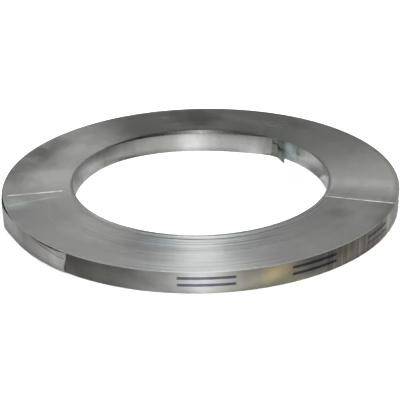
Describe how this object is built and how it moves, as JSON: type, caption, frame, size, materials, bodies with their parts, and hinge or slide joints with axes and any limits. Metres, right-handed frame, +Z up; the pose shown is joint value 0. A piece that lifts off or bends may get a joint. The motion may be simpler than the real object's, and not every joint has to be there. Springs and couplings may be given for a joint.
{
  "type": "steel strapping coil",
  "caption": "Flat steel strapping wound turn on turn into a low ring with an open bore, lying on its side, ready for a dispenser hub.",
  "frame": {"origin": "centre of the bore, on the floor that the coil lies on", "axes": "+Z up along the bore; -Y is the side nearest the viewer of the picture, +X to the viewer's right"},
  "size_m": [0.6295, 0.6284, 0.0324],
  "materials": {
    "galvanised_strip": "bright zinc-coated strip, satin on the slit edges"
  },
  "bodies": {
    "root": {"strapping_coil": "galvanised_strip"}
  },
  "joints": []
}
